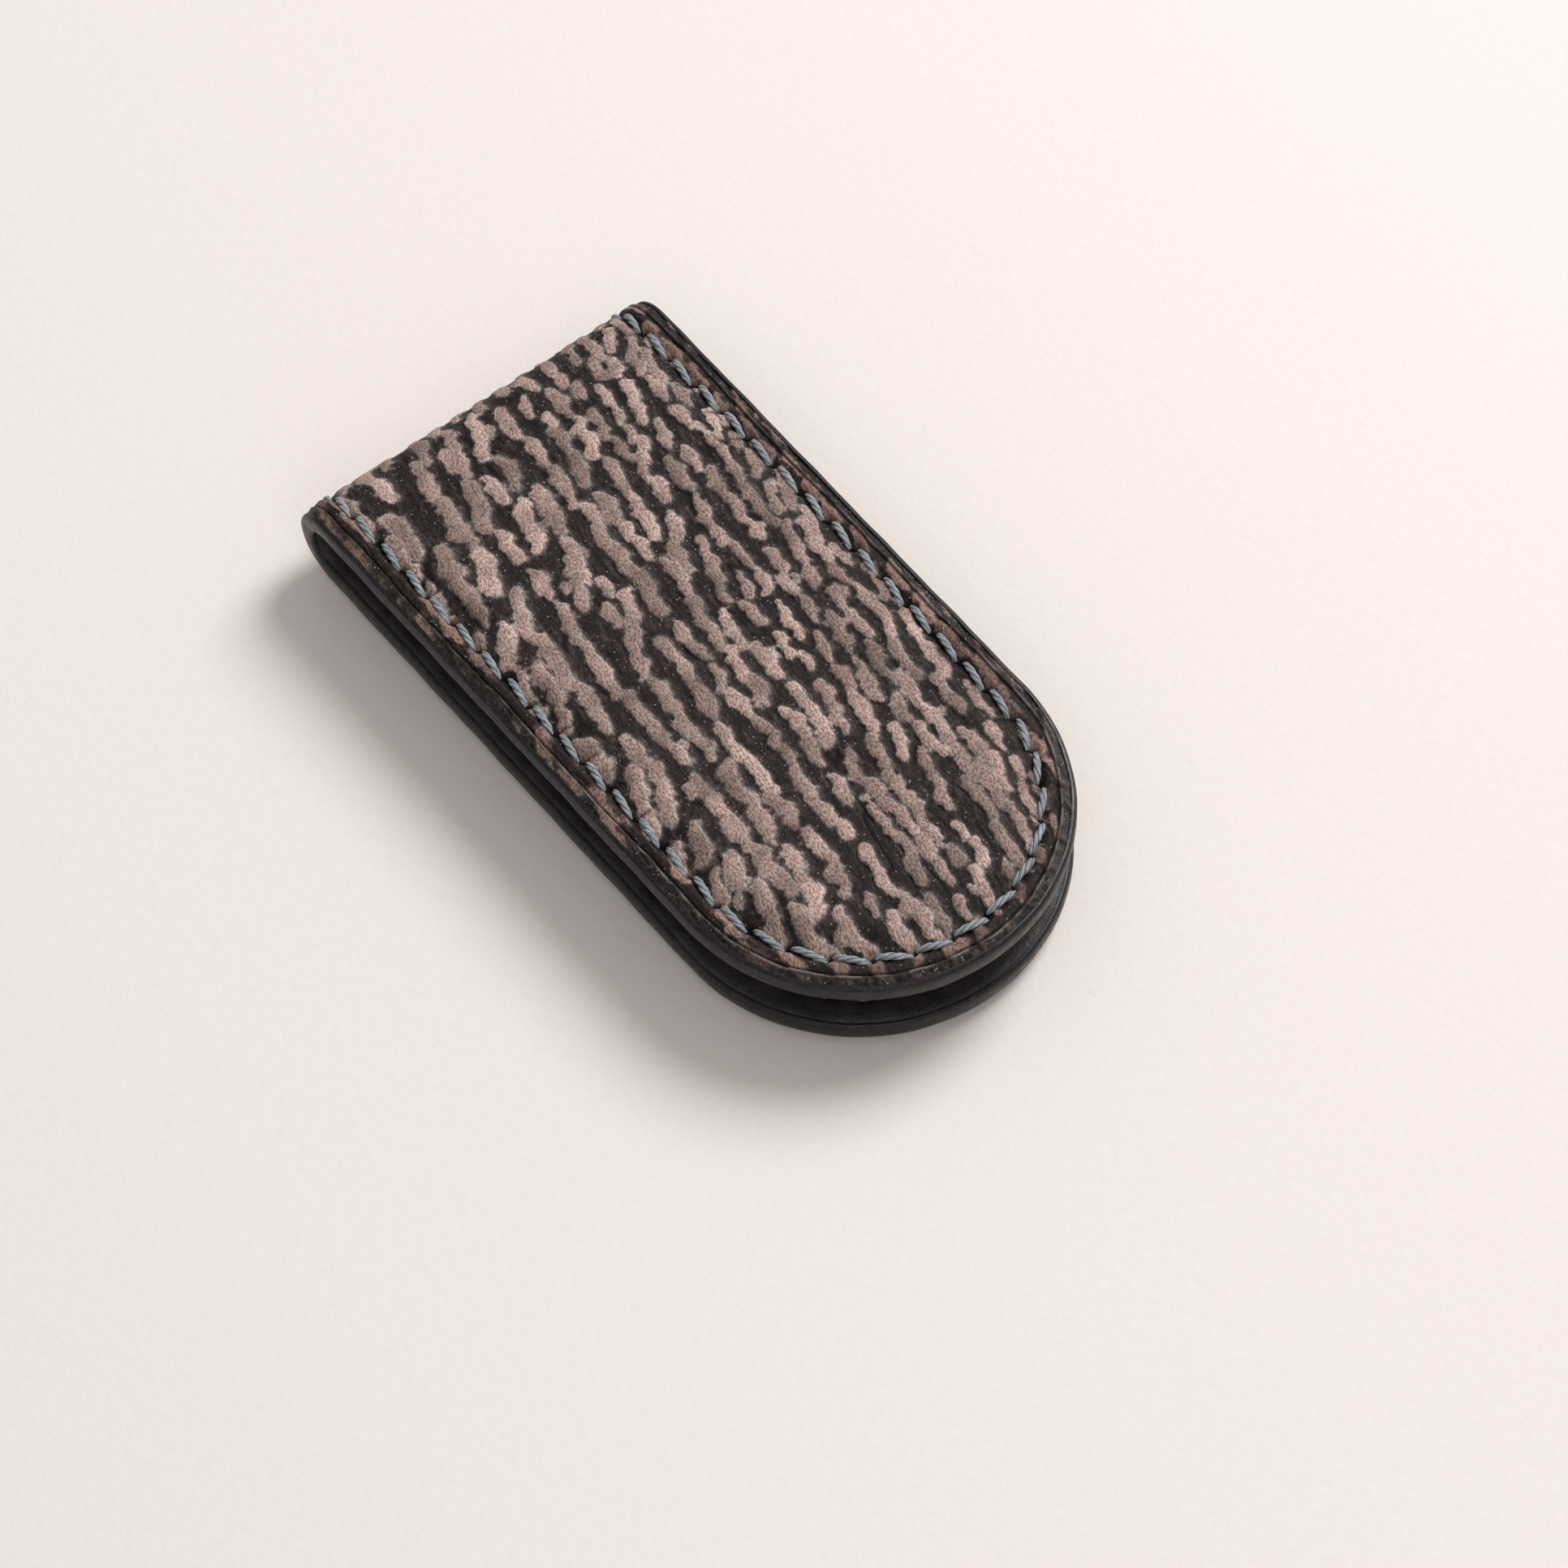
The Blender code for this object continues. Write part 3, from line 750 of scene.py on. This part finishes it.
class Nodes:
    """Short calls for a material's node tree."""

    def __init__(self, name):
        self.material = bpy.data.materials.new(name)
        self.material.use_nodes = True
        self.tree = self.material.node_tree
        self.shader = self.tree.nodes["Principled BSDF"]

    def link(self, output, target):
        self.tree.links.new(output, target)

    def set(self, node, socket, value):
        if isinstance(value, bpy.types.NodeSocket):
            self.link(value, node.inputs[socket])
        elif value is not None:
            node.inputs[socket].default_value = value

    def attribute(self, name, output="Vector"):
        node = self.tree.nodes.new("ShaderNodeAttribute")
        node.attribute_name = name
        return node.outputs[output]

    def math(self, operation, a, b=None):
        node = self.tree.nodes.new("ShaderNodeMath")
        node.operation = operation
        self.set(node, 0, a)
        self.set(node, 1, b)
        return node.outputs[0]

    def noise(self, vector, scale, detail=3.0, roughness=0.5):
        node = self.tree.nodes.new("ShaderNodeTexNoise")
        self.set(node, "Vector", vector)
        self.set(node, "Scale", scale)
        self.set(node, "Detail", detail)
        self.set(node, "Roughness", roughness)
        return node.outputs["Fac"]

    def cells(self, vector, scale):
        """Distance from the middle of the nearest cell."""
        node = self.tree.nodes.new("ShaderNodeTexVoronoi")
        self.set(node, "Vector", vector)
        self.set(node, "Scale", scale)
        return node.outputs["Distance"]

    def ramp(self, value, low, high, start=0.0, end=1.0):
        """An S-shaped change from start to end, as the value goes from low to high."""
        node = self.tree.nodes.new("ShaderNodeMapRange")
        node.interpolation_type = "SMOOTHSTEP"
        self.set(node, "Value", value)
        self.set(node, "From Min", low)
        self.set(node, "From Max", high)
        self.set(node, "To Min", start)
        self.set(node, "To Max", end)
        return node.outputs[0]

    def mix(self, factor, a, b, blend="MIX"):
        node = self.tree.nodes.new("ShaderNodeMix")
        node.data_type = "RGBA"
        node.blend_type = blend
        self.set(node, 0, factor)
        for socket, value in ((6, a), (7, b)):
            if isinstance(value, tuple):
                value = (*value, 1.0)
            self.set(node, socket, value)
        return node.outputs[2]

    def stretch(self, vector, scale):
        node = self.tree.nodes.new("ShaderNodeMapping")
        self.set(node, "Vector", vector)
        self.set(node, "Scale", scale)
        return node.outputs[0]

    def turn(self, vector, degrees):
        node = self.tree.nodes.new("ShaderNodeMapping")
        self.set(node, "Vector", vector)
        self.set(node, "Rotation", (0.0, 0.0, math.radians(degrees)))
        return node.outputs[0]

    def bump(self, height, distance, strength):
        node = self.tree.nodes.new("ShaderNodeBump")
        self.set(node, "Height", height)
        node.inputs["Distance"].default_value = distance * MM
        node.inputs["Strength"].default_value = strength
        return node.outputs[0]

    def finish(self, colour, roughness, normal, metallic=0.0, specular=0.5):
        self.set(self.shader, "Base Color", colour)
        self.set(self.shader, "Roughness", roughness)
        self.set(self.shader, "Normal", normal)
        self.shader.inputs["Metallic"].default_value = metallic
        self.shader.inputs["Specular IOR Level"].default_value = specular
        return self.material


# Colours of the shark leather
GROOVE = (0.020, 0.0145, 0.0145)
RIDGE = (0.61, 0.495, 0.46)
RIDGE_WARM = (0.515, 0.36, 0.31)
RIDGE_AT_RIM = (0.44, 0.26, 0.205)
GRAIN_DARK = (0.36, 0.27, 0.24)
GRAIN_LIGHT = (1.30, 1.32, 1.34)
SPECK = (0.52, 0.48, 0.46)
# Painted shade in the slits, the pressed line, the hide's folds and the tucks
SLIT_SHADE = (0.006, 0.004, 0.005)
# Painted highlight on the lip of the pressed line
LIP_HIGHLIGHT = (0.26, 0.23, 0.225)
SCUFF = (0.13, 0.12, 0.118)

# Colours of everything else
LINING_DARK = (0.016, 0.014, 0.014)
LINING_LIGHT = (0.034, 0.030, 0.029)
LINING_PORE = (0.010, 0.009, 0.009)
PAINT_DARK = (0.005, 0.005, 0.006)
PAINT_LIGHT = (0.014, 0.013, 0.014)
THREAD_DARK = (0.055, 0.061, 0.067)
THREAD_LIGHT = (0.55, 0.60, 0.65)
THREAD_DULL = (0.20, 0.215, 0.23)
# Painted shade in the grooves between the plies
THREAD_GROOVE_SHADE = (0.022, 0.026, 0.030)
BOARD_DARK = (0.11, 0.066, 0.042)
BOARD_LIGHT = (0.22, 0.145, 0.095)
NICKEL_DARK = (0.56, 0.54, 0.50)
NICKEL_LIGHT = (0.68, 0.66, 0.62)
FLOOR_DARK = (0.865, 0.795, 0.76)
FLOOR_LIGHT = (0.88, 0.81, 0.775)


def ridge_masks(n, flat, along):
    """How far a point is inside a ridge with a ragged edge, and how much of the ridge colour shows."""
    ridge, tone = n.attribute("ridge", "Fac"), n.attribute("tone", "Fac")
    streak = n.noise(n.stretch(along, (1.2, 4.0, 1.0)), 1.0, 3.0, 0.6)
    speckle = n.noise(flat, 6.5, 2.0, 0.7)
    ragged = n.math("SUBTRACT", n.math("ADD", n.math("MULTIPLY", streak, 0.9), speckle), 0.95)
    edge = n.math("ADD", ridge, n.math("MULTIPLY", ragged, 1.7))
    cloud = n.ramp(n.noise(flat, 0.26, 3.0, 0.6), 0.34, 0.64, 0.66, 1.12)
    top = n.math("MULTIPLY", n.math("MULTIPLY", n.ramp(edge, -1.0, 1.0), tone), cloud)
    wisps = n.noise(n.stretch(along, (0.4, 1.5, 1.0)), 1.0, 4.0, 0.65)
    faint = n.ramp(wisps, 0.47, 0.72, 0.0, 0.08)
    skirt = n.ramp(edge, -1.7, 0.0, 0.0, 0.12)
    return edge, n.math("MAXIMUM", top, n.math("MAXIMUM", faint, skirt))


def ridge_colour(n, flat, edge, inset):
    """Taupe, warmer in places and in the middle of a ridge, and brown at the rim."""
    warm = n.ramp(n.noise(flat, 0.23, 2.0, 0.5), 0.48, 0.72, 0.0, 0.8)
    core = n.math("MULTIPLY", n.ramp(edge, 0.5, 2.0), 0.8)
    taupe = n.mix(n.math("MAXIMUM", warm, core), RIDGE, RIDGE_WARM)
    return n.mix(n.ramp(inset, 4.2, 1.6, 0.0, 0.75), taupe, RIDGE_AT_RIM)


def add_wear_shade_and_highlight(n, flat, inset, colour):
    """Pale specks, painted shade in the slits and folds, a painted highlight on the lip of the pressed
    line, and a scuffed rim.
    """
    chance = n.ramp(n.noise(flat, 1.7, 1.0), 0.50, 0.60)
    speck = n.math("MULTIPLY", n.ramp(n.cells(flat, 2.6), 0.24, 0.12), chance)
    colour = n.mix(n.math("MULTIPLY", speck, 0.6), colour, SPECK)
    # Painted shade in the slits, the pressed line, the hide's folds and the tucks
    colour = n.mix(n.attribute("painted_shade", "Fac"), colour, SLIT_SHADE)
    # Painted highlight on the lip of the pressed line, in patches
    patches = n.ramp(n.noise(flat, 0.5, 3.0), 0.42, 0.62, 0.1, 0.75)
    colour = n.mix(n.math("MULTIPLY", n.attribute("lip", "Fac"), patches), colour, LIP_HIGHLIGHT)
    rubbed = n.ramp(n.noise(flat, 1.9, 4.0, 0.7), 0.52, 0.68)
    rim = n.ramp(inset, 1.5, 1.1, 0.0, 0.45)
    return n.mix(n.math("MULTIPLY", rubbed, rim), colour, SCUFF)


def shark_material():
    n = Nodes("shark_leather_look")
    flat, inset = n.attribute("flat"), n.attribute("inset", "Fac")
    along = n.turn(flat, 12.0)
    edge, top = ridge_masks(n, flat, along)
    colour = n.mix(top, GROOVE, ridge_colour(n, flat, edge, inset))
    grain = n.noise(n.stretch(along, (0.8, 1.4, 1.0)), 3.6, 2.0, 0.8)
    mottle = n.mix(n.ramp(grain, 0.36, 0.62), GRAIN_DARK, GRAIN_LIGHT)
    colour = n.mix(0.85, colour, mottle, "MULTIPLY")
    # Real specks and scuffs, with painted shade in the slits and folds and a painted highlight on the lip
    colour = add_wear_shade_and_highlight(n, flat, inset, colour)
    rough = n.math("MULTIPLY", n.ramp(top, 0.0, 0.8, 0.60, 0.78), n.ramp(inset, 1.2, 2.0, 0.72, 1.0))
    wrinkle = n.cells(n.stretch(flat, (1.3, 3.4, 1.0)), 1.0)
    height = n.math("ADD", n.math("MULTIPLY", grain, 0.8), n.math("MULTIPLY", wrinkle, 0.35))
    return n.finish(colour, rough, n.bump(height, 0.05, 0.9), specular=0.13)


def lining_material():
    n = Nodes("lining_leather_look")
    flat = n.attribute("flat")
    pebble = n.cells(flat, 2.6)
    tone = n.noise(flat, 0.35, 3.0)
    colour = n.mix(n.ramp(tone, 0.35, 0.65), LINING_DARK, LINING_LIGHT)
    colour = n.mix(n.ramp(pebble, 0.05, 0.35, 0.5, 0.0), colour, LINING_PORE)
    rough = n.ramp(n.noise(flat, 1.2, 2.0), 0.3, 0.7, 0.45, 0.62)
    normal = n.bump(n.math("ADD", pebble, n.math("MULTIPLY", n.noise(flat, 9.0), 0.3)), 0.06, 0.7)
    return n.finish(colour, rough, normal, specular=0.4)


def bead_material():
    n = Nodes("edge_paint_look")
    flat = n.attribute("flat")
    run = n.stretch(flat, (0.8, 2.4, 2.4))
    streak = n.noise(run, 1.3, 3.0, 0.6)
    colour = n.mix(n.ramp(streak, 0.35, 0.7), PAINT_DARK, PAINT_LIGHT)
    scuff = n.ramp(n.noise(n.stretch(flat, (1.0, 2.6, 2.6)), 2.3, 4.0, 0.7), 0.56, 0.70)
    colour = n.mix(n.math("MULTIPLY", scuff, 0.42), colour, SCUFF)
    rough = n.ramp(n.noise(flat, 1.0, 3.0), 0.3, 0.7, 0.30, 0.46)
    normal = n.bump(n.noise(flat, 4.0, 3.0, 0.6), 0.03, 0.6)
    return n.finish(colour, rough, normal, specular=0.32)


def thread_material():
    n = Nodes("waxed_thread_look")
    strand = n.attribute("strand")
    split = n.tree.nodes.new("ShaderNodeSeparateXYZ")
    n.link(strand, split.inputs[0])
    ply, run, tone = split.outputs[0], split.outputs[1], split.outputs[2]
    groove = n.math("ABSOLUTE", n.math("COSINE", n.math("MULTIPLY", ply, 1.5)))
    fibre = n.math("SINE", n.math("ADD", n.math("MULTIPLY", ply, 14.0), n.math("MULTIPLY", run, 3.0)))
    fuzz = n.noise(n.stretch(strand, (2.2, 1.1, 5.0)), 2.0, 3.0, 0.6)
    light = n.math("ADD", n.math("MULTIPLY", fibre, 0.10), n.math("MULTIPLY", fuzz, 0.9))
    colour = n.mix(n.ramp(light, 0.20, 0.68), THREAD_DARK, THREAD_LIGHT)
    colour = n.mix(n.ramp(tone, 0.0, 1.0, 0.0, 0.25), colour, THREAD_DULL)
    # Painted shade in the grooves between the plies
    colour = n.mix(n.ramp(groove, 0.0, 0.50, 0.95, 0.0), colour, THREAD_GROOVE_SHADE)
    height = n.math("ADD", n.math("MULTIPLY", fibre, 0.35), n.math("MULTIPLY", fuzz, 0.5))
    normal = n.bump(height, 0.04, 0.9)
    return n.finish(colour, 0.55, normal, specular=0.4)


def board_material():
    n = Nodes("bonded_board_look")
    place = n.tree.nodes.new("ShaderNodeTexCoord").outputs["Object"]
    fibre = n.noise(n.stretch(place, (900.0, 2600.0, 900.0)), 1.0, 4.0, 0.65)
    colour = n.mix(n.ramp(fibre, 0.3, 0.7), BOARD_DARK, BOARD_LIGHT)
    return n.finish(colour, 0.85, n.bump(fibre, 0.08, 0.8), specular=0.25)


def magnet_material():
    n = Nodes("nickel_magnet_look")
    place = n.tree.nodes.new("ShaderNodeTexCoord").outputs["Object"]
    cloud = n.noise(place, 500.0, 3.0, 0.6)
    colour = n.mix(n.ramp(cloud, 0.3, 0.7), NICKEL_DARK, NICKEL_LIGHT)
    rough = n.ramp(n.noise(place, 1800.0, 3.0), 0.3, 0.7, 0.16, 0.30)
    return n.finish(colour, rough, n.bump(cloud, 0.01, 0.4), metallic=1.0)


# ---------------------------------------------------------------- stage, light and camera

# Angles in degrees, lengths in millimetres
CAMERA_ELEVATION = 58.42
CAMERA_AZIMUTH = -37.36
CAMERA_ROLL = -1.41
CAMERA_DISTANCE = 394.0
CAMERA_AIM = (14.36, -4.17, 10.0)
FIELD_OF_VIEW = 20.47


def build_camera():
    elevation = math.radians(CAMERA_ELEVATION)
    azimuth = math.radians(CAMERA_AZIMUTH)
    away = Vector((
        math.cos(elevation) * math.cos(azimuth),
        math.cos(elevation) * math.sin(azimuth),
        math.sin(elevation),
    ))
    data = bpy.data.cameras.new("camera")
    data.sensor_fit = "HORIZONTAL"
    data.angle = math.radians(FIELD_OF_VIEW)
    data.clip_start = 0.01
    data.clip_end = 20.0
    camera = bpy.data.objects.new("camera", data)
    camera.location = (Vector(CAMERA_AIM) + away * CAMERA_DISTANCE) * MM
    camera.rotation_euler = (-away).to_track_quat("-Z", "Y").to_euler()
    camera.rotation_euler.rotate_axis("Z", math.radians(CAMERA_ROLL))
    bpy.context.scene.collection.objects.link(camera)
    bpy.context.scene.camera = camera


def area_light(name, place, size, power, colour):
    """Round soft light that points at the clip. Its place and size are in metres."""
    data = bpy.data.lights.new(name, "AREA")
    data.shape = "DISK"
    data.size = size
    data.energy = power
    data.color = colour
    light = bpy.data.objects.new(name, data)
    light.location = place
    light.rotation_euler = (-Vector(place)).to_track_quat("-Z", "Y").to_euler()
    bpy.context.scene.collection.objects.link(light)


def build_stage():
    """A plain pale floor, a soft sky and two lights."""
    bpy.ops.mesh.primitive_plane_add(size=6.0, location=(0.0, 0.0, 0.0))
    floor = bpy.context.object
    floor.name = "floor"
    n = Nodes("floor_look")
    place = n.tree.nodes.new("ShaderNodeTexCoord").outputs["Object"]
    fleck = n.noise(place, 900.0, 3.0)
    colour = n.mix(n.ramp(fleck, 0.3, 0.7), FLOOR_DARK, FLOOR_LIGHT)
    pebble = n.noise(place, 1500.0, 2.0, 0.6)
    floor.data.materials.append(n.finish(colour, 0.9, n.bump(pebble, 0.10, 0.35), specular=0.2))
    world = bpy.data.worlds.new("world")
    bpy.context.scene.world = world
    world.use_nodes = True
    background = world.node_tree.nodes["Background"]
    background.inputs["Color"].default_value = (1.0, 0.985, 0.97, 1.0)
    background.inputs["Strength"].default_value = 0.39
    area_light("key", (-0.105, 0.735, 0.76), 0.55, 9.45, (1.0, 0.988, 0.972))
    area_light("fill", (0.55, -0.30, 0.65), 0.7, 1.3, (1.0, 0.99, 0.98))
    bpy.context.scene.view_settings.view_transform = "Standard"
    bpy.context.scene.view_settings.look = "None"


# ---------------------------------------------------------------- assembly

def dress_nodes(nodes):
    """Procedural finishes for the CAD parts that stay."""
    board, magnet = board_material(), magnet_material()
    for name, obj in nodes.items():
        if name.startswith("magnet_"):
            finish = board if name.startswith("magnet_board") else magnet
            obj.data.materials.clear()
            obj.data.materials.append(finish)


def main():
    build_camera()
    build_stage()
    shark, lining = shark_material(), lining_material()
    paint, thread = bead_material(), thread_material()
    dress_nodes(frame["nodes"])
    for part, side in (("upper", 1.0), ("lower", -1.0)):
        build_shell(part, side, shark)
        build_lining(part, side, lining)
        build_bead(part, side, paint)
        build_stitches(part, side, True, thread)
        build_stitches(part, side, False, thread)


main()
